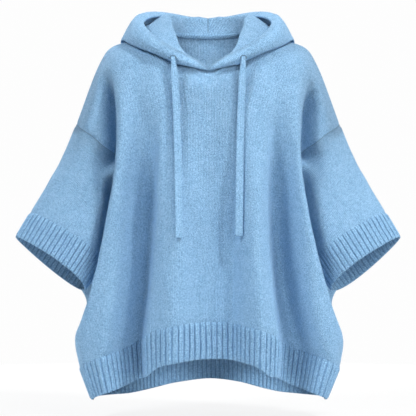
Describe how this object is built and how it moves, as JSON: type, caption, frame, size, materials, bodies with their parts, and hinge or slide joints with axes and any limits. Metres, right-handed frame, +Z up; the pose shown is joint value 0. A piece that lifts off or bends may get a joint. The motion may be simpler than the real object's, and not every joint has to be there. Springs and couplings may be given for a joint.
{
  "type": "hooded pullover sweater",
  "caption": "Oversized knitted pullover sweater with a hood lying back, wide elbow-length sleeves, ribbed cuffs and hem, and flat drawcords, in its worn form.",
  "frame": {"origin": "centre of the neck opening, level with the highest point of the shoulder seams, where the garment hangs on its wearer", "axes": "+Z up, -Y to the front of the garment, +X to the wearer's left"},
  "size_m": [0.7794, 0.2997, 0.8004],
  "materials": {
    "knit": "brushed fine knit in a light blue melange, matt with a soft nap",
    "rib": "ribbed knit in the same yarn, matt",
    "cord": "flat knitted tubular cord in the same yarn, matt"
  },
  "bodies": {
    "root": {"front_panel": "knit", "back_panel": "knit", "front_hem_rib": "rib", "back_hem_rib": "rib", "sleeve_right": "knit", "sleeve_left": "knit", "cuff_right": "rib", "cuff_left": "rib", "hood_right": "knit", "hood_left": "knit", "neck_tape": "rib", "drawcord_right": "cord", "drawcord_left": "cord"}
  },
  "joints": []
}
